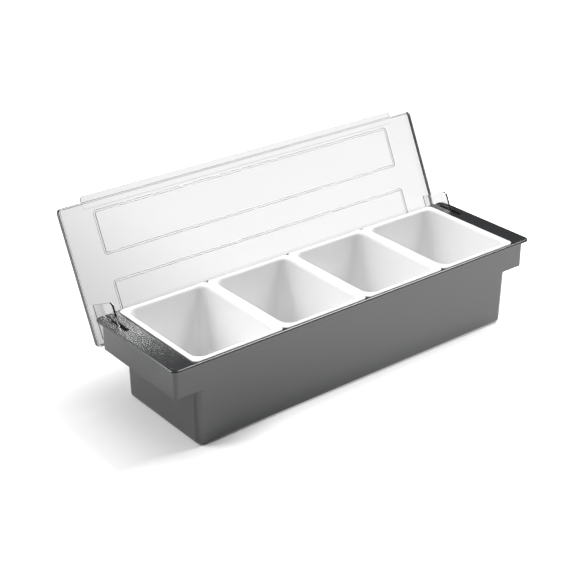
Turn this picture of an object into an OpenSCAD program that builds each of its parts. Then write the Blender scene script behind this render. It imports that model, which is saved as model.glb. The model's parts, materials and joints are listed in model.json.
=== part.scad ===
// Condiment caddy: an open tray with four lift-out inserts hanging in it, and
// one clear lid over all of them. The lid's two arms pass down through slots in
// the end shelves and turn on stub pins moulded inside the end skirts.
// X runs along the caddy, the front faces -Y, and the origin is the centre of
// the tray's underside. The lid is drawn open, leaning back on its stops.

/* [Tray] */
// Length of the tray across its rim
tray_len = 500; // [440:5:600]
// Depth of the tray across its rim, front to back
tray_depth = 145; // [125:1:180]
// Height from the table to the top of the rim
tray_height = 101; // [85:1:130]
// Thickness of the well's walls and of the end skirts
tray_wall = 2.2; // [1.8:0.1:3]
// Thickness of the well's floor
floor_t = 2.8; // [2:0.1:5]
// Thickness of the rim plate
rim_t = 3; // [2:0.1:4]
// Radius of the rim plate's top edge
rim_edge_r = 1.2; // [0.5:0.1:1.8]
// Corner radius of the rim plate
rim_corner_r = 7; // [4:0.5:12]
// How far the rim plate stands out in front of and behind the walls
rim_over = 5.7; // [3:0.1:8]
// How far the rim plate stands out past the end skirts
rim_end_over = 5; // [3:0.1:8]
// From the end of the rim to the outside of the well's end wall
end_shelf = 31; // [29:0.2:40]
// Drop of the end skirts from the top of the rim
skirt_drop = 35; // [34:1:45]
// Corner radius of the end skirts
skirt_corner_r = 4.5; // [3.5:0.5:8]
// Corner radius of the well
well_corner_r = 8; // [6.5:0.5:14]
// Radius of the well's bottom edge
well_bottom_r = 5.5; // [4:0.5:6.5]
// How much the well narrows towards its floor, on each side
well_draft = 0.8; // [0:0.1:3]
// How far the well's rounded mouth runs out past the flanges' roll-over
mouth_ease = 0.7; // [0.5:0.1:1.5]

/* [Inserts] */
// Space for ice between the tray's floor and the inserts
ice_gap = 14.2; // [6:0.2:30]
// Thickness of the inserts' walls and floors
insert_wall = 1.6; // [1.2:0.1:2.5]
// Thickness of the inserts' flanges
flange_t = 1.6; // [1.2:0.1:2.4]
// How far the flanges lie on the end shelves
flange_lap_end = 6.7; // [4:0.1:9]
// How far the flanges lie on the rim plate at the front and the back
flange_lap = 5.5; // [3:0.1:6.5]
// Gap between the end inserts' walls and the well's end walls
insert_end_clear = 0.5; // [0.4:0.1:3]
// Gap between the inserts' walls and the well's front and rear walls
insert_clear = 2.6; // [0.8:0.1:5]
// Gap between two flanges
flange_gap = 0.5; // [0.3:0.1:1.5]
// Corner radius of the flanges
flange_corner_r = 5.5; // [3:0.5:9]
// Radius that rolls the flanges into the inside walls
flange_roll_r = 4.4; // [3:0.1:5]
// Corner radius of the inserts' inside at the top
insert_corner_r = 11; // [7:0.5:16]
// Radius of the inserts' inside at the floor
insert_bottom_r = 18; // [12:0.5:24]
// How much an insert narrows towards its floor, on each side
insert_draft = 2.1; // [0.5:0.1:5]

/* [Lid] */
// From the end of the rim in to the end of the lid
lid_end_inset = 2.1; // [1:0.1:3]
// How far the closed lid stands out in front of the rim
lid_front_over = 2; // [0:0.1:6]
// Thickness of the lid's panel
panel_t = 2.4; // [1.8:0.1:3.2]
// Depth of the lid's edge, panel included
edge_drop = 6.4; // [5.5:0.1:9]
// Thickness of the lid's edge
edge_t = 1.8; // [1.2:0.1:2.4]
// Corner radius of the lid
lid_corner_r = 3; // [2.6:0.1:8]
// Radius of the lid's outer edge
lid_edge_r = 0.8; // [0.3:0.1:1.2]
// How far the finger lip stands out in front of the lid
lip_out = 6.3; // [5:0.1:12]
// From the end of the lid in to the end of the finger lip
lip_inset = 29.8; // [15:0.2:60]
// Thickness of the finger lip
lip_t = 1.8; // [1.4:0.1:2.4]
// Corner radius of the finger lip
lip_corner_r = 4; // [2:0.5:5]
// From the end of the lid in to the two raised frames
frame_inset = 40.4; // [25:0.2:80]
// From the lid's front edge to the first frame
frame_front = 10.8; // [8:0.2:20]
// From the lid's rear edge to the second frame
frame_rear = 12.9; // [8:0.2:20]
// Space between the two frames
frame_gap = 27.6; // [8:0.2:40]
// Width of the frames' raised line
frame_w = 2.8; // [1.6:0.1:5]
// Height of the frames' raised line
frame_h = 0.8; // [0.4:0.1:1.6]
// Corner radius of the frames
frame_corner_r = 4; // [3.5:0.5:8]

/* [Hinge] */
// From the rim's rear edge in to the pins' axis
pin_inset = 12.6; // [11:0.1:16]
// From the top of the rim down to the pins' axis
pin_drop = 13.4; // [12:0.1:15]
// From the lid's rear edge to the pins' axis
arm_pin_back = 15; // [14:0.1:18]
// How far the open lid leans back past upright
open_lean = 25.4; // [15:0.1:30]
// Gap between the swinging lid and the rim's rear edge
swing_clear = 0.5; // [0.4:0.1:2]
// Radius of the stub pins
pin_r = 3; // [2:0.1:4]
// Radial clearance of the pins in the arms
pin_clear = 0.08; // [0.03:0.01:0.1]
// How far the stub pins reach out of their bosses
pin_reach = 2.4; // [1.6:0.1:3.5]
// Radius of the bosses that the stub pins stand on
boss_r = 5.5; // [4.8:0.1:7]
// From the end of the rim in to the middle of an arm
arm_end = 12.6; // [12:0.1:16]
// Thickness of an arm
arm_t = 2.4; // [1.8:0.1:2.8]
// Reach of an arm past its pin's axis
arm_past = 19.2; // [14:0.1:20]
// Width of an arm ahead of its pin's axis
arm_ahead = 29.1; // [20:0.1:32]
// How far an arm's far end runs back past the pin's axis
arm_foot = 2; // [0:0.1:2.4]
// Radius of an arm round its pin
arm_eye_r = 8.5; // [7.5:0.1:10]
// Radius of an arm's front corner
arm_corner_r = 5.5; // [3:0.1:8]
// Radius of an arm's rear corner
arm_heel_r = 3.5; // [3:0.1:5]
// Height of the thick pad round the pin
pad_t = 0.9; // [0.5:0.1:1]
// Half the width of the pad
pad_half = 6.5; // [5:0.1:7]
// Reach of the pad ahead of the pin's axis
pad_ahead = 13.4; // [10:0.1:18]
// Corner radius of the pad
pad_corner_r = 3; // [1.5:0.1:4]
// Gap between the pads and the bosses
pad_gap = 0.4; // [0.3:0.1:0.8]
// Gap on each side between an arm and its slot
slot_side = 1.5; // [1.4:0.1:2.5]
// Gap between the swinging arm and the front end of its slot
slot_front = 1.2; // [0.6:0.1:4]
// Gap between the open lid's arms and the lower ends of the slots
stop_gap = 0.35; // [0.3:0.05:1]

/* [Hidden] */
insert_count = 4;
past = 1;
well_half = [tray_len / 2 - end_shelf, tray_depth / 2 - rim_over];
skirt_half = [tray_len / 2 - rim_end_over, well_half.y];
well_in_half = well_half - [tray_wall, tray_wall];
skirt_in_half = skirt_half - [tray_wall, tray_wall];
insert_pitch = 2 * (well_in_half.x + flange_lap_end) / insert_count;
flange_half = [(insert_pitch - flange_gap) / 2, well_in_half.y + flange_lap];
insert_last_x = insert_pitch * (insert_count - 1) / 2;
insert_half = [well_in_half.x - insert_end_clear - insert_last_x, well_in_half.y - insert_clear];
insert_in_half = insert_half - [insert_wall, insert_wall];
insert_base_z = floor_t + ice_gap;
mouth_r = flange_roll_r - insert_wall - insert_end_clear + mouth_ease;
flange_top_z = tray_height + flange_t;
lid_len = tray_len - 2 * lid_end_inset;
lid_depth = tray_depth - pin_inset + arm_pin_back + lid_front_over;
lip_half = lid_len / 2 - lip_inset;
frame_half_len = lid_len / 2 - frame_inset;
frame_depth = (lid_depth - frame_front - frame_rear - frame_gap) / 2;
pin_y = tray_depth / 2 - pin_inset;
pin_z = tray_height - pin_drop;
arm_x = tray_len / 2 - arm_end;
panel_top = edge_drop + norm([pin_inset, pin_drop]) + swing_clear;
boss_x = arm_x + arm_t / 2 + pad_t + pad_gap;
arm_sweep_r = norm([arm_ahead - arm_corner_r, arm_past - arm_corner_r]) + arm_corner_r;
slot_front_y = pin_y - sqrt(pow(arm_sweep_r, 2) - pow(pin_drop - rim_t, 2)) - slot_front;
$fn = 64;

// Height of the line that the open lid's arms come to rest on
function stop_z(y) = pin_z - (arm_eye_r + stop_gap) / cos(open_lean) - (y - pin_y) * tan(open_lean);

// The two points where a straight edge touches two round corners [x, y, radius]
function edge_points(a, b) =
    let (
        run = [b.x - a.x, b.y - a.y],
        along = run / norm(run),
        lean = (a[2] - b[2]) / norm(run),
        out = along * lean + [along.y, -along.x] * sqrt(1 - lean * lean)
    )
    [[a.x, a.y] + out * a[2], [b.x, b.y] + out * b[2]];

// Outline with round corners, given anticlockwise as [x, y, radius]
module rounded_outline(corners) {
    count = len(corners);
    edges = [for (i = [0 : count - 1]) edge_points(corners[i], corners[(i + 1) % count])];
    polygon([for (edge = edges) each edge]);
    for (corner = corners)
        if (corner[2] > 0)
            translate([corner.x, corner.y]) circle(corner[2]);
}

// Rectangle with round corners about the origin
module rounded_rect(half, r) {
    square([2 * half.x, 2 * (half.y - r)], center = true);
    square([2 * (half.x - r), 2 * half.y], center = true);
    for (x = [-1, 1], y = [-1, 1])
        translate([x * (half.x - r), y * (half.y - r)]) circle(r);
}

// Sweeps a section round a rectangle with round corners, X being outwards
module swept_round(half, r) {
    for (turn = [0 : 3]) {
        side = turn % 2 == 0 ? half : [half.y, half.x];
        rotate(90 * turn) {
            translate([side.x, side.y - r, 0]) rotate([90, 0, 0]) linear_extrude(2 * (side.y - r)) children();
            translate([side.x - r, side.y - r, 0]) rotate_extrude(angle = 90) translate([r, 0]) children();
        }
    }
}

// Upright edge section with a round top, reaching a little way into its plate
module round_edge_section(r, height) {
    translate([-r / 2, 0]) square([1.5 * r, height - r]);
    intersection() {
        translate([0, height - r]) circle(r);
        square([r, height]);
    }
}

// Plate on the XY plane with a rounded top edge
module soft_plate(half, corner_r, edge_r, height) {
    core = half - [edge_r, edge_r];
    linear_extrude(height) rounded_rect(core, corner_r - edge_r);
    swept_round(core, corner_r - edge_r) round_edge_section(edge_r, height);
}

// Well that stands straight down to straight_z and then narrows to a round bottom edge
module drafted_well(half, corner_r, bottom_r, draft, base_z, straight_z, top_z) {
    foot_r = max(corner_r, bottom_r);
    foot = half - [draft + foot_r, draft + foot_r];
    hull()
        for (x = [-1, 1], y = [-1, 1]) {
            translate([x * (half.x - corner_r), y * (half.y - corner_r), straight_z])
                cylinder(r = corner_r, h = top_z - straight_z, $fn = 32);
            translate([x * foot.x, y * foot.y, base_z + bottom_r])
                rotate_extrude($fn = 32)
                    intersection() {
                        translate([foot_r - bottom_r, 0]) circle(bottom_r, $fn = 32);
                        translate([0, -bottom_r]) square([foot_r, bottom_r]);
                    }
        }
}

module shelf_hollows() {
    translate([0, 0, tray_height - skirt_drop - past])
        linear_extrude(skirt_drop + past - rim_t)
            difference() {
                rounded_rect(skirt_in_half, skirt_corner_r - tray_wall);
                rounded_rect(well_half, well_corner_r);
            }
}

// Cut that rounds the rim's edge all round the well, clear of the flanges' roll-over
module round_mouth() {
    translate([0, 0, tray_height])
        swept_round(well_in_half, well_corner_r - tray_wall)
            difference() {
                translate([-past, -mouth_r]) square([mouth_r + past, mouth_r + past]);
                translate([mouth_r, -mouth_r]) circle(mouth_r);
            }
}

// Slot for one arm, through the shelf and down the rear wall to a leaning stop
module arm_slot() {
    rear = tray_depth / 2 + past;
    inside = skirt_in_half.y - past;
    shelf_under = tray_height - rim_t - past;
    width = arm_t + 2 * slot_side;
    rotate([90, 0, 90])
        translate([0, 0, arm_x - width / 2])
            linear_extrude(width)
                polygon([
                    [slot_front_y, tray_height + past],
                    [slot_front_y, shelf_under],
                    [inside, shelf_under],
                    [inside, stop_z(inside)],
                    [rear, stop_z(rear)],
                    [rear, tray_height + past]
                ]);
}

// Boss on the inside of an end skirt with the stub pin that one arm turns on
module stub_pin() {
    tip = pin_r / 5;
    translate([boss_x, pin_y, pin_z]) rotate([0, 90, 0]) {
        cylinder(r = boss_r, h = skirt_half.x - tray_wall / 2 - boss_x);
        translate([0, 0, tip - pin_reach]) cylinder(r = pin_r, h = pin_reach);
        translate([0, 0, -pin_reach]) cylinder(r1 = pin_r - tip, r2 = pin_r, h = tip);
    }
}

module tray() {
    color("#4b4c4e") {
        difference() {
            union() {
                translate([0, 0, tray_height - rim_t])
                    soft_plate([tray_len / 2, tray_depth / 2], rim_corner_r, rim_edge_r, rim_t);
                translate([0, 0, tray_height - skirt_drop])
                    linear_extrude(skirt_drop - rim_t / 2) rounded_rect(skirt_half, skirt_corner_r);
                drafted_well(
                    well_half, well_corner_r, well_bottom_r, well_draft,
                    0, tray_height - skirt_drop, tray_height - rim_t / 2
                );
            }
            shelf_hollows();
            drafted_well(
                well_in_half, well_corner_r - tray_wall, well_bottom_r - tray_wall, well_draft,
                floor_t, tray_height - skirt_drop, tray_height + past
            );
            round_mouth();
            arm_slot();
            mirror([1, 0, 0]) arm_slot();
        }
        stub_pin();
        mirror([1, 0, 0]) stub_pin();
    }
}

// Quarter ring that rolls the flange over into the wall, reaching a little way into both
module roll_section() {
    reach = flange_roll_r / 4;
    flange_end_t = min(flange_t, insert_wall);
    translate([flange_roll_r, 0])
        intersection() {
            difference() {
                circle(flange_roll_r);
                circle(flange_roll_r - insert_wall);
            }
            translate([-flange_roll_r, 0]) square(flange_roll_r);
        }
    translate([0, -reach]) square([insert_wall, reach]);
    translate([flange_roll_r, flange_roll_r - flange_end_t]) square([reach, flange_end_t]);
}

module insert_cup(place) {
    roll_z = flange_top_z - flange_roll_r;
    flat_in = insert_in_half + [flange_roll_r, flange_roll_r];
    color("#f4f4f2")
        translate([insert_pitch * (place - (insert_count - 1) / 2), 0, 0]) {
            translate([0, 0, tray_height])
                linear_extrude(flange_t)
                    difference() {
                        rounded_rect(flange_half, flange_corner_r);
                        rounded_rect(flat_in, insert_corner_r + flange_roll_r);
                    }
            translate([0, 0, roll_z]) swept_round(insert_in_half, insert_corner_r) roll_section();
            difference() {
                drafted_well(
                    insert_half, insert_corner_r + insert_wall, insert_bottom_r + insert_wall, insert_draft,
                    insert_base_z, roll_z - flange_roll_r / 2, roll_z
                );
                drafted_well(
                    insert_in_half, insert_corner_r, insert_bottom_r, insert_draft,
                    insert_base_z + insert_wall, roll_z - flange_roll_r / 2, roll_z + past
                );
            }
        }
}

// Raised line round one of the two frames on the panel
module raised_frame(front_y) {
    half = [frame_half_len - frame_w / 2, (frame_depth - frame_w) / 2];
    translate([0, front_y + frame_depth / 2, panel_top])
        swept_round(half, frame_corner_r - frame_w / 2)
            translate([-frame_w / 2, -panel_t / 2])
                square([frame_w, panel_t / 2 + frame_h]);
}

// Arm with a thick pad round its pin, seen along X with Y to the rear and Z up
module lid_arm() {
    root_z = panel_top - panel_t / 2;
    front = arm_corner_r - arm_ahead;
    pad_front = pad_corner_r - pad_ahead;
    difference() {
        rotate([90, 0, 90]) {
            translate([0, 0, arm_x - arm_t / 2])
                linear_extrude(arm_t)
                    rounded_outline([
                        [front, arm_corner_r - arm_past, arm_corner_r],
                        [arm_foot - arm_heel_r, arm_heel_r - arm_past, arm_heel_r],
                        [0, 0, arm_eye_r],
                        [arm_eye_r, root_z, 0],
                        [-arm_ahead, root_z, 0]
                    ]);
            translate([0, 0, arm_x])
                linear_extrude(arm_t / 2 + pad_t)
                    rounded_outline([
                        [pad_front, pad_corner_r - pad_half, pad_corner_r],
                        [0, 0, pad_half],
                        [pad_front, pad_half - pad_corner_r, pad_corner_r]
                    ]);
        }
        translate([arm_x - arm_t, 0, 0])
            rotate([0, 90, 0]) cylinder(r = pin_r + pin_clear, h = 2 * arm_t + pad_t);
    }
}

// The lid lies closed here, with the pins' axis through the origin
module flat_lid() {
    half = [lid_len / 2, lid_depth / 2];
    front_y = arm_pin_back - lid_depth;
    lip_back = 2 * lip_corner_r;
    difference() {
        translate([0, front_y + half.y, panel_top - edge_drop])
            soft_plate(half, lid_corner_r, lid_edge_r, edge_drop);
        translate([0, front_y + half.y, panel_top - edge_drop - past])
            linear_extrude(edge_drop + past - panel_t)
                rounded_rect(half - [edge_t, edge_t], lid_corner_r - edge_t);
    }
    translate([0, front_y + (lip_back - lip_out) / 2, panel_top - lid_edge_r - lip_t])
        linear_extrude(lip_t)
            rounded_rect([lip_half, (lip_out + lip_back) / 2], lip_corner_r);
    raised_frame(front_y + frame_front);
    raised_frame(front_y + frame_front + frame_depth + frame_gap);
    lid_arm();
    mirror([1, 0, 0]) lid_arm();
}

module lid() {
    color("#c9d3d8")
        translate([0, pin_y, pin_z]) rotate([-90 - open_lean, 0, 0]) flat_lid();
}

tray();
insert_cup(0);  // insert_1
insert_cup(1);  // insert_2
insert_cup(2);  // insert_3
insert_cup(3);  // insert_4
lid();
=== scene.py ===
import json
import math

import bmesh
import bpy
from mathutils import Matrix, Vector


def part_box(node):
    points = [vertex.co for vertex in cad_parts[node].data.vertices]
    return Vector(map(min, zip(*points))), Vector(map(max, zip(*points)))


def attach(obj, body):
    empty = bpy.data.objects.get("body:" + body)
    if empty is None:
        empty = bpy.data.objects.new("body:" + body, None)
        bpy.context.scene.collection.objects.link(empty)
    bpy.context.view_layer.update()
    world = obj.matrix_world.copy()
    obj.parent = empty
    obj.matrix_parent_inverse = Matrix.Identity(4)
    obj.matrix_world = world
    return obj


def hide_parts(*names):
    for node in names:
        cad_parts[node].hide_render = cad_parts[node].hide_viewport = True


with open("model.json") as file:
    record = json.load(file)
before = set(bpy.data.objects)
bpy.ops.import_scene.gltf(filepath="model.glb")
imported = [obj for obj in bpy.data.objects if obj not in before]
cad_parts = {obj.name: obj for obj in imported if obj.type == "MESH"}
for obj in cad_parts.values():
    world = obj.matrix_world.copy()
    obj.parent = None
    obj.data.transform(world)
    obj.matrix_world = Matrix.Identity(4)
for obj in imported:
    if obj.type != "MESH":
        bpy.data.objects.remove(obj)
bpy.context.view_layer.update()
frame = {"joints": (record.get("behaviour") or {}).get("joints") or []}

mm = 0.001
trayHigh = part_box("tray")[1]
halfLength = trayHigh.x / mm  # from here on, sizes are in mm and turn to metres in each mesh
halfDepth = trayHigh.y / mm
rimTop = trayHigh.z / mm
hinge = next(joint for joint in frame["joints"] if joint["name"] == "lid_hinge")
pinY = hinge["pos_m"][1] / mm
pinZ = hinge["pos_m"][2] / mm
cornerSteps = 10  # facets in a quarter turn, where no other count is given
weldGap = 0.002


# Helpers

def linear(hexColour):
    channels = [int(hexColour[place:place + 2], 16) / 255 for place in (1, 3, 5)]
    return [c / 12.92 if c <= 0.04045 else ((c + 0.055) / 1.055) ** 2.4 for c in channels] + [1.0]


def addNode(tree, kind, inputs=None, **settings):
    node = tree.nodes.new(kind)
    for name, value in settings.items():
        setattr(node, name, value)
    for socket, value in (inputs or {}).items():
        if isinstance(value, bpy.types.NodeSocket):
            tree.links.new(value, node.inputs[socket])
        else:
            node.inputs[socket].default_value = value
    return node


def perMm(size):
    return 1 / (size * mm)  # texture scale for a pattern of that many mm


def quarter(facets=cornerSteps):
    return [math.radians(90 * step / facets) for step in range(facets + 1)]


def arc(radius, facets=cornerSteps):
    # Quarter round from one face to the next: how far each point has gone in, and how far it has left
    return [(radius * (1 - math.cos(turn)), radius * (1 - math.sin(turn))) for turn in quarter(facets)]


def roundedLoop(halfX, halfY, radius, z, middleY=0):
    loop = []
    for signX, signY, start in ((1, 1, 0), (-1, 1, 90), (-1, -1, 180), (1, -1, 270)):
        for turn in quarter():
            angle = math.radians(start) + turn
            x = signX * (halfX - radius) + radius * math.cos(angle)
            y = signY * (halfY - radius) + radius * math.sin(angle)
            loop.append(Vector((x, y + middleY, z)))
    return loop


def newPiece(name, body=None):
    mesh = bpy.data.meshes.new(name)
    if body:
        body.to_mesh(mesh)
        body.free()
    piece = bpy.data.objects.new(name, mesh)
    bpy.context.scene.collection.objects.link(piece)
    return piece


def clean(body):
    bmesh.ops.remove_doubles(body, verts=body.verts, dist=weldGap * mm)
    bmesh.ops.recalc_face_normals(body, faces=body.faces)


def loft(name, loops):
    # Skins closed loops of as many points each, and caps both ends
    body = bmesh.new()
    rows = [[body.verts.new(point * mm) for point in loop] for loop in loops]
    for lower, upper in zip(rows, rows[1:]):
        for place in range(len(lower)):
            after = (place + 1) % len(lower)
            body.faces.new((lower[place], lower[after], upper[after], upper[place]))
    body.faces.new(rows[0][::-1])
    body.faces.new(rows[-1])
    clean(body)
    return newPiece(name, body)


def settle(piece):
    # Turns a piece and its live modifiers into one plain mesh
    bpy.context.view_layer.update()
    shape = bpy.data.meshes.new_from_object(piece.evaluated_get(bpy.context.evaluated_depsgraph_get()))
    piece.modifiers.clear()
    piece.data = shape
    return piece


def combine(piece, others, operation):
    for other in others:
        step = piece.modifiers.new(operation, "BOOLEAN")
        step.operation = operation
        step.solver = "EXACT"
        step.object = other
    settle(piece)
    for other in others:
        bpy.data.objects.remove(other)
    return piece


def softShade(piece, material, sharpFrom=32, flatWeight=80):
    # Smooth over the fillets, flat over the flats
    piece.data.materials.clear()
    piece.data.materials.append(material)
    piece.data.polygons.foreach_set("material_index", [0] * len(piece.data.polygons))
    piece.data.shade_smooth()
    piece.data.set_sharp_from_angle(angle=math.radians(sharpFrom))
    weighted = piece.modifiers.new("flatFaces", "WEIGHTED_NORMAL")
    weighted.keep_sharp = True
    weighted.weight = flatWeight
    return settle(piece)


def turned(name, profile, middle, facets=48):
    # Round solid about X through middle, from a profile of (x, radius)
    angles = [math.tau * step / facets for step in range(facets)]
    return loft(name, [
        [Vector((x, middle[0] + radius * math.cos(a), middle[1] + radius * math.sin(a))) for a in angles]
        for x, radius in profile
    ])


def newShapeTree(name, inputs):
    # Geometry tree with the given inputs, each a name and a kind of socket
    tree = bpy.data.node_groups.new(name, "GeometryNodeTree")
    sockets = tree.interface
    sockets.new_socket("Geometry", in_out="INPUT", socket_type="NodeSocketGeometry")
    for socket, kind in inputs.items():
        sockets.new_socket(socket, in_out="INPUT", socket_type=f"NodeSocket{kind}")
    sockets.new_socket("Geometry", in_out="OUTPUT", socket_type="NodeSocketGeometry")
    return tree, addNode(tree, "NodeGroupInput").outputs


def endShapeTree(tree, placed, material):
    # Makes the instances real, gives them their material and hands them out
    real = addNode(tree, "GeometryNodeRealizeInstances", {"Geometry": placed.outputs["Instances"]})
    dressed = addNode(tree, "GeometryNodeSetMaterial", {
        "Geometry": real.outputs["Geometry"], "Material": material,
    })
    addNode(tree, "NodeGroupOutput", {"Geometry": dressed.outputs["Geometry"]})


def growFrom(piece, tree, values):
    # Runs a geometry tree on a piece, with its inputs set by name, and keeps the plain mesh
    step = piece.modifiers.new(tree.name, "NODES")
    step.node_group = tree
    for item in tree.interface.items_tree:
        if item.in_out == "INPUT" and item.name in values:
            step[item.identifier] = values[item.name]
    return settle(piece)


# Materials

def newMaterial(name):
    material = bpy.data.materials.new(name)
    material.use_nodes = True
    material.node_tree.nodes.clear()
    return material, material.node_tree


def mouldedPlastic(name, waves, grain, clouds, roughness, tones, ior, paintedShadeBy=None, clear=0.0):
    # Bumped by long sink waves behind the walls and by the grain of the mould's steel, which is drawn coarser
    # than it is so that it shows. Each is (mm across, mm deep). Gloss and tone vary in clouds (mm, detail)
    material, tree = newMaterial(name)
    place = addNode(tree, "ShaderNodeTexCoord").outputs["Object"]
    wave = addNode(tree, "ShaderNodeTexNoise", {"Vector": place, "Scale": perMm(waves[0]), "Detail": 1.0})
    fine = addNode(tree, "ShaderNodeTexNoise", {"Vector": place, "Scale": perMm(grain[0]), "Detail": 2.0})
    slow = addNode(tree, "ShaderNodeBump", {
        "Height": wave.outputs["Fac"], "Distance": waves[1] * mm, "Strength": 1.0,
    })
    skin = addNode(tree, "ShaderNodeBump", {
        "Height": fine.outputs["Fac"], "Distance": grain[1] * mm, "Strength": 1.0,
        "Normal": slow.outputs["Normal"],
    })
    cloudAndPaintedShade = addNode(tree, "ShaderNodeTexNoise", {
        "Vector": place, "Scale": perMm(clouds[0]), "Detail": clouds[1],
    }).outputs["Fac"]
    gloss = addNode(tree, "ShaderNodeMapRange", {
        "Value": cloudAndPaintedShade, "To Min": roughness[0], "To Max": roughness[1],
    })
    # Where a face attribute is given, it sets the tone instead of the clouds: painted shade where it is 1
    if paintedShadeBy:
        cloudAndPaintedShade = addNode(tree, "ShaderNodeAttribute", attribute_name=paintedShadeBy).outputs["Fac"]
    toneAndPaintedShade = addNode(tree, "ShaderNodeMix", {
        "Factor": cloudAndPaintedShade, "A": linear(tones[0]), "B": linear(tones[1]),
    }, data_type="RGBA")
    shader = addNode(tree, "ShaderNodeBsdfPrincipled", {
        "Base Color": toneAndPaintedShade.outputs["Result"], "Roughness": gloss.outputs["Result"], "IOR": ior,
        "Transmission Weight": clear, "Normal": skin.outputs["Normal"],
    })
    addNode(tree, "ShaderNodeOutputMaterial", {"Surface": shader.outputs["BSDF"]})
    return material


# ABS from a satin-polished steel mould: dark, with a soft wide sheen that breaks up a little
charcoalAbs = mouldedPlastic(
    "charcoalMouldedAbs", waves=(90, 0.05), grain=(1.6, 0.0012), clouds=(35, 4.0),
    roughness=(0.2, 0.26), tones=("#2d2e2f", "#303132"), ior=1.72,
)
# Polypropylene moulded white: bright, slightly waxy, with a soft gloss
whitePolypropylene = mouldedPlastic(
    "whiteMouldedPolypropylene", waves=(60, 0.04), grain=(1.2, 0.003), clouds=(25, 3.0),
    roughness=(0.14, 0.2), tones=("#ececec", "#f0f0f0"), ior=1.49,
)
# Polycarbonate from a polished mould: water-clear, with faint flow waves in its reflections.
# Its edges and raised lines, where sight runs a long way through the plastic, get painted shade in their
# colour
clearPolycarbonate = mouldedPlastic(
    "clearMouldedPolycarbonate", waves=(120, 0.02), grain=(40, 0.002), clouds=(6, 5.0),
    roughness=(0.0, 0.04), tones=("#f1f1f1", "#3c3d3f"), ior=1.58, paintedShadeBy="paintedEdgeShade", clear=1.0,
)


# Tray

trayForm = dict(
    wall=2.2,
    floor=2.8,
    rim=3,
    rimEdge=2.0,      # radius of the rim's top edge
    rimCorner=7,
    rimOver=5.7,      # rim past the front and rear walls
    rimEndOver=5,     # rim past the end skirts
    endShelf=31,      # end of the rim to the well's end wall
    skirtDrop=35,     # top of the rim to the foot of the end skirts
    skirtCorner=4.5,
    wellCorner=8,
    wellBottom=5.5,   # radius round the underside
    draft=0.8,
    soften=0.5,       # radius of the small edges
    mouth=3,          # radius of the well's mouth, under the inserts' rolled edge
    bossRadius=5.5,
    bossSoft=0.4,
    pinRadius=3,
    pinTip=0.6,       # chamfer
    pinReach=2.4,
    padGap=0.4,       # pad of the arm to the boss
)
armForm = dict(
    fromEnd=12.6,     # end of the rim to the middle of the arm
    thick=2.4,
    past=19.2,        # reach of the closed arm below the pins' axis
    ahead=29.1,       # and in front of it
    foot=2,           # and behind it, at the foot
    eye=8.5,          # radius round the pin
    front=5.5,        # radii of the two lower corners
    heel=3.5,
    pad=0.9,
    padHalf=6.5,
    padAhead=13.4,
    padCorner=3,
    pinClear=0.08,
    slotSide=1.5,
    slotFront=1.2,
    slotPast=10,      # reach of the slot's cutter past the rear edge
    slotCorner=0.3,
    slotFlare=0.15,
    stopGap=0.35,
    lean=25.4,        # degrees past upright when open
    soften=0.35,
)
cutOver = 1           # how far cutters reach past a surface
armX = halfLength - armForm["fromEnd"]
wellHalf = (halfLength - trayForm["endShelf"], halfDepth - trayForm["rimOver"])


def trayShell():
    form = trayForm
    wall = form["wall"]
    corner = form["wellCorner"]
    draft = form["draft"]
    wellX, wellY = wellHalf
    loops = []

    def wellRing(grow, z, cornerAt):
        loops.append(roundedLoop(wellX + grow, wellY + grow, cornerAt + grow, z))

    def rimRing(inset, z):
        loops.append(roundedLoop(halfLength - inset, halfDepth - inset, form["rimCorner"] - inset, z))

    for gone, left in arc(form["wellBottom"]):
        wellRing(-draft - left, gone, corner + draft)
    underRim = rimTop - form["rim"]
    foot = rimTop - form["skirtDrop"]
    wellRing(0, foot, corner)
    for gone, left in arc(form["soften"], 4):
        wellRing(gone, underRim - left, corner)
    for gone, left in arc(form["soften"], 4):
        rimRing(left, underRim + gone)
    for gone, left in arc(form["rimEdge"], 6):
        rimRing(gone, rimTop - left)
    for gone, left in arc(form["mouth"], 8):
        wellRing(-wall + left, rimTop - gone, corner)
    wellRing(-wall, foot, corner)
    for gone, left in arc(form["wellBottom"] - wall, 6):
        wellRing(-wall - draft - gone, form["floor"] + left, corner + draft)
    return loft("trayMoulding", loops)


def endSkirt(side):
    # Wall that hangs under one end shelf: a section swept along the front wing, the end and the rear wing
    form = trayForm
    wall = form["wall"]
    foot = rimTop - form["skirtDrop"]
    head = rimTop - form["rim"] / 2
    soft = form["soften"]
    start = wellHalf[0] - form["wellCorner"] + soft / 2
    endX = halfLength - form["rimEndOver"]
    corner = form["skirtCorner"]
    section = [(0, head)]
    section += [(gone, foot + left) for gone, left in arc(soft, 4)]
    section += [(wall - left, foot + gone) for gone, left in arc(soft, 4)]
    section += [(wall, head)]
    path = [((start, -wellHalf[1]), (0, -1))]
    for turn in quarter():
        out = (math.sin(turn), -math.cos(turn))
        path.append(((endX - corner + corner * out[0], -wellHalf[1] + corner + corner * out[1]), out))
    path += [((x, -y), (outX, -outY)) for (x, y), (outX, outY) in reversed(path)]
    loops = []
    for (x, y), (outX, outY) in path:
        loops.append([Vector((side * (x - depth * outX), y - depth * outY, z)) for depth, z in section])
    return loft("endSkirt", loops)


def stopHeight(y):
    # Height of the line that the open lid's arms come to rest on
    lean = math.radians(armForm["lean"])
    return pinZ - (armForm["eye"] + armForm["stopGap"]) / math.cos(lean) - (y - pinY) * math.tan(lean)


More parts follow.
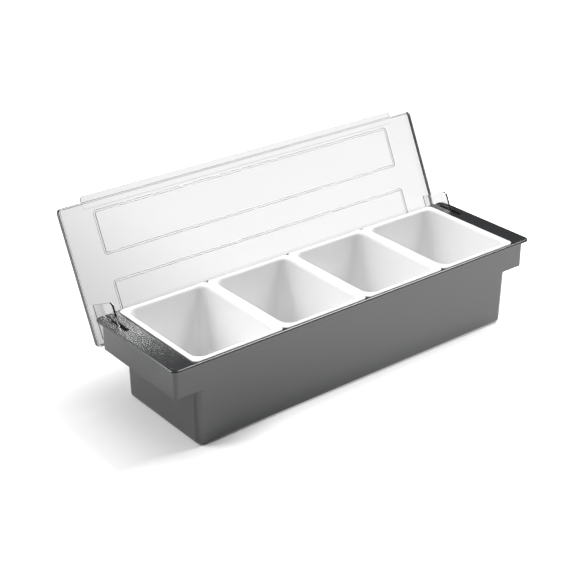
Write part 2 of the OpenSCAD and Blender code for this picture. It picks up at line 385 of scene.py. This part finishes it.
def armSlots(side):
    # Cutters for the slot in one end shelf and for the notch behind it, in the well's rear wall and rim
    arm = armForm
    sweep = arm["front"] + math.hypot(arm["ahead"] - arm["front"], arm["past"] - arm["front"])
    drop = rimTop - pinZ - trayForm["rim"]
    front = pinY - math.sqrt(sweep ** 2 - drop ** 2) - arm["slotFront"]
    rear = halfDepth + arm["slotPast"]
    halfX = arm["thick"] / 2 + arm["slotSide"]
    halfY = (rear - front) / 2
    flare = arm["slotFlare"]
    low = rimTop - trayForm["rim"] - 2 * cutOver
    shelf = []
    for grow, z in ((0, low), (0, rimTop - flare), (2 * flare, rimTop + flare)):
        loop = roundedLoop(halfX + grow, halfY + grow, arm["slotCorner"] + grow, z, (front + rear) / 2)
        shelf.append([point + Vector((side * armX, 0, 0)) for point in loop])
    inside = wellHalf[1] - trayForm["wall"] - cutOver
    outside = halfDepth + cutOver
    high = rimTop + cutOver
    notch = [(inside, high), (inside, stopHeight(inside)), (outside, stopHeight(outside)), (outside, high)]
    notchCut = [[Vector((side * armX + x, y, z)) for y, z in notch] for x in (-halfX, halfX)]
    return [loft("shelfCut", shelf), loft("notchCut", notchCut)]


def stubPin(side):
    form = trayForm
    face = armX + armForm["thick"] / 2 + armForm["pad"] + form["padGap"]
    root = halfLength - form["rimEndOver"] - form["wall"] / 2
    end = face - form["pinReach"]
    soft = form["bossSoft"]
    tip = form["pinTip"]
    pin = form["pinRadius"]
    boss = form["bossRadius"]
    profile = [(end, pin - tip), (end + tip, pin), (face, pin)]
    profile += [(face, boss - soft), (face + soft, boss), (root, boss)]
    return turned("stubPin", [(side * x, radius) for x, radius in profile], (pinY, pinZ))


def makeTray(material):
    piece = trayShell()
    combine(piece, [endSkirt(1), endSkirt(-1)], "UNION")
    combine(piece, armSlots(1) + armSlots(-1), "DIFFERENCE")
    combine(piece, [stubPin(1), stubPin(-1)], "UNION")
    softShade(piece, material)
    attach(piece, "caddy")
    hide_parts("tray")
    print("tray made")


# Inserts

cupForm = dict(
    count=4,
    wall=1,
    flange=1.6,
    lapEnd=6.7,       # flange on the end shelves
    lapFront=5.5,     # flange on the front rim
    lapRear=3.5,
    endClear=0.1,     # wall of an end insert to the well's end wall
    frontClear=0.4,
    lean=0.9,         # how much more the inside leans than the outside
    gap=0.5,          # between two flanges
    flangeCorner=5.5,
    flangeEdge=0.6,   # radius of the flange's outer edge
    roll=4,           # radius from the flange into the inside walls
    corner=11,
    leastCorner=0.5,  # where the corners run out on the floor
    bottom=18,        # radius of the inside at the floor
    draft=3.4,
    iceGap=14.2,      # floor of the well to the inserts
)
wellIn = (wellHalf[0] - trayForm["wall"], wellHalf[1] - trayForm["wall"])
cupPitch = 2 * (wellIn[0] + cupForm["lapEnd"]) / cupForm["count"]


def cupShell(material):
    form = cupForm
    flangeHalf = ((cupPitch - form["gap"]) / 2, wellIn[1] + (form["lapFront"] + form["lapRear"]) / 2)
    flangeMiddle = (form["lapRear"] - form["lapFront"]) / 2
    lastX = cupPitch * (form["count"] - 1) / 2
    outX = wellIn[0] - form["endClear"] - lastX
    outY = wellIn[1] - form["frontClear"]
    wall = form["wall"]
    draft = form["draft"]
    corner = form["corner"]
    roll = form["roll"]
    base = trayForm["floor"] + form["iceGap"]
    top = rimTop + form["flange"]
    loops = []

    def wallRing(grow, z, cornerAt):
        loops.append(roundedLoop(outX + grow, outY + grow, max(cornerAt, form["leastCorner"]), z))

    def flangeRing(inset, z):
        loops.append(roundedLoop(
            flangeHalf[0] - inset, flangeHalf[1] - inset, form["flangeCorner"] - inset, z, flangeMiddle))

    outerBottom = form["bottom"] + wall
    for gone, left in arc(outerBottom):
        wallRing(-draft - left, base + gone, outerBottom - left)
    for gone, left in arc(roll - wall, 6):
        wallRing(gone, top - wall - left, corner + wall + gone)
    for gone, left in arc(form["flangeEdge"], 5):
        flangeRing(left, rimTop + gone)
    for gone, left in arc(form["flangeEdge"], 5):
        flangeRing(gone, top - left)
    for gone, left in reversed(arc(roll, 8)):
        wallRing(gone - wall, top - left, corner + gone)
    for gone, left in reversed(arc(form["bottom"], 14)):
        wallRing(-wall - draft - form["lean"] - left, base + wall + gone, form["bottom"] - left)
    cup = loft("cupShape", loops)
    cup.data.materials.append(material)
    return cup


def cupRowTree():
    # Sets the cup on one place of an even row
    tree, given = newShapeTree("cupRow", {
        "Cup": "Object", "Pitch": "Float", "Count": "Int", "Place": "Int", "Material": "Material",
    })
    gaps = addNode(tree, "ShaderNodeMath", {0: given["Count"], 1: 1.0}, operation="SUBTRACT")
    reach = addNode(tree, "ShaderNodeMath", {0: gaps.outputs[0], 1: given["Pitch"]}, operation="MULTIPLY")
    first = addNode(tree, "ShaderNodeMath", {0: reach.outputs[0], 1: -0.5}, operation="MULTIPLY")
    start = addNode(tree, "ShaderNodeCombineXYZ", {"X": first.outputs[0]})
    step = addNode(tree, "ShaderNodeCombineXYZ", {"X": given["Pitch"]})
    row = addNode(tree, "GeometryNodeMeshLine", {
        "Count": given["Count"], "Start Location": start.outputs[0], "Offset": step.outputs[0],
    })
    number = addNode(tree, "GeometryNodeInputIndex")
    chosen = addNode(tree, "FunctionNodeCompare", {2: number.outputs[0], 3: given["Place"]},
                     data_type="INT", operation="EQUAL")
    cup = addNode(tree, "GeometryNodeObjectInfo", {"Object": given["Cup"]})
    placed = addNode(tree, "GeometryNodeInstanceOnPoints", {
        "Points": row.outputs["Mesh"], "Selection": chosen.outputs[0], "Instance": cup.outputs["Geometry"],
    })
    endShapeTree(tree, placed, given["Material"])
    return tree


def makeCups(material):
    shape = cupShell(material)
    tree = cupRowTree()
    for place in range(cupForm["count"]):
        piece = newPiece(f"insertPan{place + 1}")
        growFrom(piece, tree, {
            "Cup": shape, "Pitch": cupPitch * mm, "Count": cupForm["count"], "Place": place,
            "Material": material,
        })
        softShade(piece, material)
        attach(piece, f"cup_{place + 1}")
        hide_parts(f"insert_{place + 1}")
    bpy.data.objects.remove(shape)
    print("inserts made")


# Lid, which lies closed while it is made, with the pins' axis through the origin

lidForm = dict(
    endInset=2.1,     # end of the rim to the end of the lid
    frontOver=2,      # lid past the front of the rim
    pinBack=15,       # rear edge to the pins' axis
    swingClear=0.5,
    panel=2.4,
    drop=6.4,         # depth of the turned-down edge
    edge=1.8,         # its thickness
    corner=5,
    edgeRound=0.8,
    innerRound=0.6,
    footRound=0.3,
    lip=6.3,          # finger lip
    lipInset=29.8,
    lipThick=1.8,
    lipCorner=4,
    lipSoft=0.5,
    frameInset=40.4,  # the two raised frames
    frameFront=10.8,
    frameRear=12.9,
    frameGap=27.6,
    frameWidth=2.8,
    frameHeight=0.8,
    frameCorner=4,
    frameSoft=0.7,
    frameCount=2,
)
pinInset = halfDepth - pinY
panelTop = lidForm["drop"] + math.hypot(pinInset, rimTop - pinZ) + lidForm["swingClear"]
lidHalf = halfLength - lidForm["endInset"]
lidDepth = 2 * halfDepth - pinInset + lidForm["pinBack"] + lidForm["frontOver"]
lidFront = lidForm["pinBack"] - lidDepth
lidRest = Matrix.Translation((0, pinY * mm, pinZ * mm)) @ Matrix.Rotation(
    math.radians(-90 - armForm["lean"]), 4, "X")


def lidPanel():
    form = lidForm
    middle = lidFront + lidDepth / 2
    edge = form["edge"]
    under = panelTop - form["panel"]
    foot = panelTop - form["drop"]
    loops = []

    def ring(inset, z):
        loops.append(roundedLoop(lidHalf - inset, lidDepth / 2 - inset, form["corner"] - inset, z, middle))

    for gone, left in arc(form["innerRound"], 4):
        ring(edge + left, under - gone)
    for gone, left in arc(form["footRound"], 3):
        ring(edge - gone, foot + left)
    for gone, left in arc(form["footRound"], 3):
        ring(left, foot + gone)
    for gone, left in arc(form["edgeRound"], 6):
        ring(gone, panelTop - left)
    return loft("lidMoulding", loops)


def fingerLip():
    form = lidForm
    back = 2 * form["lipCorner"]
    half = (form["lip"] + back) / 2
    middle = lidFront + (back - form["lip"]) / 2
    top = panelTop - form["edgeRound"]
    low = top - form["lipThick"]
    loops = []

    def ring(inset, z):
        halfX = lidHalf - form["lipInset"] - inset
        loops.append(roundedLoop(halfX, half - inset, form["lipCorner"] - inset, z, middle))

    for gone, left in arc(form["lipSoft"], 4):
        ring(left, low + gone)
    for gone, left in arc(form["lipSoft"], 4):
        ring(gone, top - left)
    return loft("fingerLip", loops)


def raisedFrameTree(cornerFacets=8, edgeFacets=3):
    # A round-cornered line swept with a soft section, once for each point of a short row
    lengths = (
        "Length", "Depth", "Corner", "Line Width", "Line Height", "Line Edge", "First", "Step", "Height",
    )
    tree, given = newShapeTree("raisedFrames", {
        **{name: "Float" for name in lengths}, "Count": "Int", "Material": "Material",
    })
    rounded = []
    for width, height, radius, facets in (
        ("Length", "Depth", "Corner", cornerFacets), ("Line Width", "Line Height", "Line Edge", edgeFacets),
    ):
        block = addNode(tree, "GeometryNodeCurvePrimitiveQuadrilateral", {
            "Width": given[width], "Height": given[height],
        })
        rounded.append(addNode(tree, "GeometryNodeFilletCurve", {
            "Curve": block.outputs[0], "Radius": given[radius], "Count": facets,
        }, mode="POLY").outputs[0])
    swept = addNode(tree, "GeometryNodeCurveToMesh", {"Curve": rounded[0], "Profile Curve": rounded[1]})
    start = addNode(tree, "ShaderNodeCombineXYZ", {"Y": given["First"], "Z": given["Height"]})
    step = addNode(tree, "ShaderNodeCombineXYZ", {"Y": given["Step"]})
    row = addNode(tree, "GeometryNodeMeshLine", {
        "Count": given["Count"], "Start Location": start.outputs[0], "Offset": step.outputs[0],
    })
    placed = addNode(tree, "GeometryNodeInstanceOnPoints", {
        "Points": row.outputs["Mesh"], "Instance": swept.outputs["Mesh"],
    })
    endShapeTree(tree, placed, given["Material"])
    return tree


def raisedFrames(material):
    form = lidForm
    depth = (lidDepth - form["frameFront"] - form["frameRear"] - form["frameGap"]) / 2
    width = form["frameWidth"]
    piece = newPiece("raisedFrames")
    growFrom(piece, raisedFrameTree(), {
        "Length": (2 * (lidHalf - form["frameInset"]) - width) * mm,
        "Depth": (depth - width) * mm,
        "Corner": (form["frameCorner"] - width / 2) * mm,
        "Line Width": width * mm,
        "Line Height": 2 * form["frameHeight"] * mm,
        "Line Edge": form["frameSoft"] * mm,
        "First": (lidFront + form["frameFront"] + depth / 2) * mm,
        "Step": (depth + form["frameGap"]) * mm,
        "Height": panelTop * mm,
        "Count": form["frameCount"],
        "Material": material,
    })
    body = bmesh.new()
    body.from_mesh(piece.data)
    clean(body)
    body.to_mesh(piece.data)
    body.free()
    return piece


def edgePoints(a, b):
    # The two points where a straight edge touches two round corners (y, z, radius)
    run = Vector((b[0] - a[0], b[1] - a[1]))
    along = run.normalized()
    lean = (a[2] - b[2]) / run.length
    out = along * lean + Vector((along.y, -along.x)) * math.sqrt(1 - lean * lean)
    return Vector(a[:2]) + out * a[2], Vector(b[:2]) + out * b[2]


def outline(corners, x):
    # Closed outline in the YZ plane at x, with an arc at each corner (y, z, radius) that has a radius
    count = len(corners)
    touch = [edgePoints(corners[i], corners[(i + 1) % count]) for i in range(count)]
    loop = []
    for place, (y, z, radius) in enumerate(corners):
        if radius == 0:
            loop.append(Vector((x, y, z)))
            continue
        first = touch[place - 1][1] - Vector((y, z))
        last = touch[place][0] - Vector((y, z))
        begin = math.atan2(first.y, first.x)
        sweep = (math.atan2(last.y, last.x) - begin) % math.tau
        for step in range(cornerSteps + 1):
            angle = begin + sweep * step / cornerSteps
            loop.append(Vector((x, y + radius * math.cos(angle), z + radius * math.sin(angle))))
    return loop


def armCorners(inset):
    arm = armForm
    root = panelTop - lidForm["panel"] / 2
    return [
        (arm["front"] - arm["ahead"], arm["front"] - arm["past"], arm["front"] - inset),
        (arm["foot"] - arm["heel"], arm["heel"] - arm["past"], arm["heel"] - inset),
        (0, 0, arm["eye"] - inset),
        (arm["eye"] - inset, root, 0),
        (inset - arm["ahead"], root, 0),
    ]


def padCorners(inset):
    arm = armForm
    front = arm["padCorner"] - arm["padAhead"]
    side = arm["padHalf"] - arm["padCorner"]
    return [
        (front, -side, arm["padCorner"] - inset),
        (0, 0, arm["padHalf"] - inset),
        (front, side, arm["padCorner"] - inset),
    ]


def plate(name, corners, side, low, high, softLow, softHigh):
    # Flat plate from low to high along X, with its edges rounded at each face that has a radius
    if softLow:
        loops = [outline(corners(left), side * (low + gone)) for gone, left in arc(softLow, 3)]
    else:
        loops = [outline(corners(0), side * low)]
    loops += [outline(corners(gone), side * (high - left)) for gone, left in arc(softHigh, 3)]
    return loft(name, loops)


def lidArm(side):
    arm = armForm
    low = armX - arm["thick"] / 2
    high = armX + arm["thick"] / 2
    soft = arm["soften"]
    blade = plate("lidArm", armCorners, side, low, high, soft, soft)
    pad = plate("armPad", padCorners, side, armX, high + arm["pad"], 0, soft)
    return [blade, pad]


def pinHole(side):
    radius = trayForm["pinRadius"] + armForm["pinClear"]
    low = armX - armForm["thick"]
    high = armX + armForm["thick"] + armForm["pad"]
    return turned("pinHole", [(side * low, radius), (side * high, radius)], (0, 0))


def markEdges(piece, levelFrom=0.97):
    # Marks the faces that aren't level with the panel, save the arms', for the painted shade on the edges
    armZone = 2 * armForm["thick"]
    underPanel = panelTop - lidForm["panel"]
    toneAndPaintedShade = piece.data.attributes.new("paintedEdgeShade", "FLOAT", "FACE")
    for face in piece.data.polygons:
        level = abs(face.normal.z) > levelFrom
        onArm = abs(abs(face.center.x) / mm - armX) < armZone and face.center.z / mm < underPanel
        toneAndPaintedShade.data[face.index].value = 0 if level or onArm else 1


def makeLid(material):
    piece = lidPanel()
    combine(piece, [fingerLip(), raisedFrames(material)] + lidArm(1) + lidArm(-1), "UNION")
    combine(piece, [pinHole(1), pinHole(-1)], "DIFFERENCE")
    markEdges(piece)
    piece.data.transform(lidRest)
    softShade(piece, material)
    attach(piece, "cover")
    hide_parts("lid")
    print("lid made")


# Floor, light and camera. Places are in metres here

floorForm = dict(
    half=12,
    paper="#f6f6f6",
    # the paper as the clear lid shows it, greyed by painted shade: at the left, at the right and far off
    behindLid=("#bcbcbc", "#dadada", "#808080"),  # at the left, at the right and far off
    trayFoot=(0.219, 0.067, 0.0),                 # half the tray's foot
    frontRight=(0.62, -0.78, 0.0),
    rises=dict(                                   # what grows with a measure: from, to and at most
        liftByTray=("gap", 0.0, 0.1, 0.3),
        liftAhead=("ahead", -0.08, 0.0, 0.4),
        liftFarOff=("away", 0.4, 1.4, 0.4),
        # painted reflection: a glow on the paper in front of the tray that only gloss sees
        paintedReflection=("ahead", -0.12, 0.2, 0.75),
        right=("sideways", -0.2, 0.1, 1.0),
        farOff=("away", 0.9, 1.6, 1.0),
    ),
)


def makeFloor():
    # White paper, lifted to white for the camera by a painted glow but for a soft shadow beside the tray's
    # left end.
    # Gloss also sees a painted reflection glowing in front of the tray, and the clear lid shows the paper
    # greyer by painted shade
    form = floorForm
    material, tree = newMaterial("whitePaperFloor")
    place = addNode(tree, "ShaderNodeTexCoord").outputs["Object"]
    across = addNode(tree, "ShaderNodeVectorMath", {0: place}, operation="ABSOLUTE").outputs[0]
    past = addNode(tree, "ShaderNodeVectorMath", {
        0: across, 1: form["trayFoot"],
    }, operation="SUBTRACT").outputs[0]
    outside = addNode(tree, "ShaderNodeVectorMath", {
        0: past, 1: (0.0, 0.0, 0.0),
    }, operation="MAXIMUM").outputs[0]
    gap = addNode(tree, "ShaderNodeVectorMath", {0: outside}, operation="LENGTH")
    away = addNode(tree, "ShaderNodeVectorMath", {0: place}, operation="LENGTH")
    ahead = addNode(tree, "ShaderNodeVectorMath", {
        0: place, 1: form["frontRight"],
    }, operation="DOT_PRODUCT")
    measures = dict(
        gap=gap.outputs["Value"],
        away=away.outputs["Value"],
        ahead=ahead.outputs["Value"],
        sideways=addNode(tree, "ShaderNodeSeparateXYZ", {"Vector": place}).outputs["X"],
    )
    rise = {}
    for name, (measure, low, high, most) in form["rises"].items():
        rise[name] = addNode(tree, "ShaderNodeMapRange", {
            "Value": measures[measure], "From Min": low, "From Max": high, "To Min": 0.0, "To Max": most,
        }, interpolation_type="SMOOTHSTEP").outputs[0]

    paper = addNode(tree, "ShaderNodeBsdfDiffuse", {"Color": linear(form["paper"])})
    lift = addNode(tree, "ShaderNodeMath", {0: rise["liftByTray"], 1: rise["liftAhead"]}, operation="ADD")
    lift = addNode(tree, "ShaderNodeMath", {0: lift.outputs[0], 1: rise["liftFarOff"]}, operation="ADD")
    glowing = []
    for strength in (lift.outputs[0], rise["paintedReflection"]):
        glow = addNode(tree, "ShaderNodeEmission", {"Color": linear("#ffffff"), "Strength": strength})
        glowing.append(addNode(tree, "ShaderNodeAddShader", {0: paper.outputs[0], 1: glow.outputs[0]}))
    seenByCamera, mirrored = glowing
    left, right, farOff = form["behindLid"]
    # Painted shade on the paper seen through the lid: darker at the left, darker still far off
    paintedShadeBehindLid = addNode(tree, "ShaderNodeMix", {
        "Factor": rise["right"], "A": linear(left), "B": linear(right),
    }, data_type="RGBA")
    near = addNode(tree, "ShaderNodeBsdfDiffuse", {"Color": paintedShadeBehindLid.outputs["Result"]})
    dim = addNode(tree, "ShaderNodeBsdfDiffuse", {"Color": linear(farOff)})
    throughLid = addNode(tree, "ShaderNodeMixShader", {
        0: rise["farOff"], 1: near.outputs[0], 2: dim.outputs[0],
    })
    path = addNode(tree, "ShaderNodeLightPath").outputs
    surface = paper.outputs[0]
    for ray, look in (
        ("Is Glossy Ray", mirrored), ("Is Transmission Ray", throughLid), ("Is Camera Ray", seenByCamera),
    ):
        surface = addNode(tree, "ShaderNodeMixShader", {
            0: path[ray], 1: surface, 2: look.outputs[0],
        }).outputs[0]
    addNode(tree, "ShaderNodeOutputMaterial", {"Surface": surface})
    body = bmesh.new()
    bmesh.ops.create_grid(body, x_segments=1, y_segments=1, size=form["half"])
    floor = newPiece("studioFloor", body)
    floor.data.materials.append(material)


worldForm = dict(
    matt=0.3,       # light on matt surfaces from all round
    mirrored=0.01,  # what gloss sees between the windows
    through=0.84,   # what the clear lid shows on top of that
    windows=(       # middle, cosines of the outer and inner edge, strength
        ((0.569, -0.755, 0.326), 0.988, 0.999, 0.5),
        ((-0.22, 0.74, 0.63), 0.99, 0.997, 7),
    ),
)


def makeWorld():
    # White to the camera. Gloss sees two soft windows in a dark room, and the clear lid shows them in a
    # bright one
    form = worldForm
    world = bpy.data.worlds.new("studioWorld")
    bpy.context.scene.world = world
    world.use_nodes = True
    tree = world.node_tree
    tree.nodes.clear()
    path = addNode(tree, "ShaderNodeLightPath").outputs
    way = addNode(tree, "ShaderNodeTexCoord").outputs["Generated"]
    bright = addNode(tree, "ShaderNodeMath", {
        0: path["Is Transmission Ray"], 1: form["through"], 2: form["mirrored"],
    }, operation="MULTIPLY_ADD").outputs[0]
    for toward, low, high, strength in form["windows"]:
        facing = addNode(tree, "ShaderNodeVectorMath", {0: way, 1: toward}, operation="DOT_PRODUCT")
        window = addNode(tree, "ShaderNodeMapRange", {
            "Value": facing.outputs["Value"], "From Min": low, "From Max": high,
            "To Min": 0.0, "To Max": strength,
        }, interpolation_type="SMOOTHSTEP")
        bright = addNode(tree, "ShaderNodeMath", {
            0: bright, 1: window.outputs[0],
        }, operation="ADD").outputs[0]
    looks = [
        addNode(tree, "ShaderNodeBackground", {"Color": linear("#ffffff"), "Strength": strength}).outputs[0]
        for strength in (form["matt"], bright, 1.0)
    ]
    seen = addNode(tree, "ShaderNodeMath", {
        0: path["Is Glossy Ray"], 1: path["Is Transmission Ray"],
    }, operation="MAXIMUM").outputs[0]
    inner = addNode(tree, "ShaderNodeMixShader", {0: seen, 1: looks[0], 2: looks[1]}).outputs[0]
    both = addNode(tree, "ShaderNodeMixShader", {0: path["Is Camera Ray"], 1: inner, 2: looks[2]})
    addNode(tree, "ShaderNodeOutputWorld", {"Surface": both.outputs[0]})


lampTarget = (0, 0, 0.08)
lampForms = dict(
    rearLeftSoftbox=dict(place=(-1.5, 1.0, 1.2), side=1.2, watts=34),
    overheadSoftbox=dict(place=(1.3, -0.05, 2.0), side=1.0, watts=57),
)


def makeLamps():
    for name, form in lampForms.items():
        lamp = bpy.data.lights.new(name, "AREA")
        lamp.size = form["side"]
        lamp.energy = form["watts"]
        holder = bpy.data.objects.new(name, lamp)
        bpy.context.scene.collection.objects.link(holder)
        holder.location = form["place"]
        aim = Vector(lampTarget) - Vector(form["place"])
        holder.rotation_euler = aim.to_track_quat("-Z", "Y").to_euler()


cameraForm = dict(
    place=(-857.1, -1007.7, 744.4),  # mm, where the photograph was taken from
    turn=38.48,                      # degrees to the right of straight back
    tilt=26.34,                      # degrees below level
    roll=-0.04,
    lens=84.82,                      # mm
    sensor=36,                       # mm
    reach=50,
)


def makeCamera():
    form = cameraForm
    camera = bpy.data.cameras.new("camera")
    camera.lens = form["lens"]
    camera.sensor_width = form["sensor"]
    camera.clip_end = form["reach"]
    holder = bpy.data.objects.new("camera", camera)
    bpy.context.scene.collection.objects.link(holder)
    holder.matrix_world = (
        Matrix.Translation(Vector(form["place"]) * mm)
        @ Matrix.Rotation(math.radians(-form["turn"]), 4, "Z")
        @ Matrix.Rotation(math.radians(90 - form["tilt"]), 4, "X")
        @ Matrix.Rotation(math.radians(form["roll"]), 4, "Z")
    )
    bpy.context.scene.camera = holder


makeTray(charcoalAbs)
makeCups(whitePolypropylene)
makeLid(clearPolycarbonate)
makeFloor()
makeWorld()
makeLamps()
makeCamera()
bpy.context.scene.view_settings.view_transform = "Standard"
print("scene made")
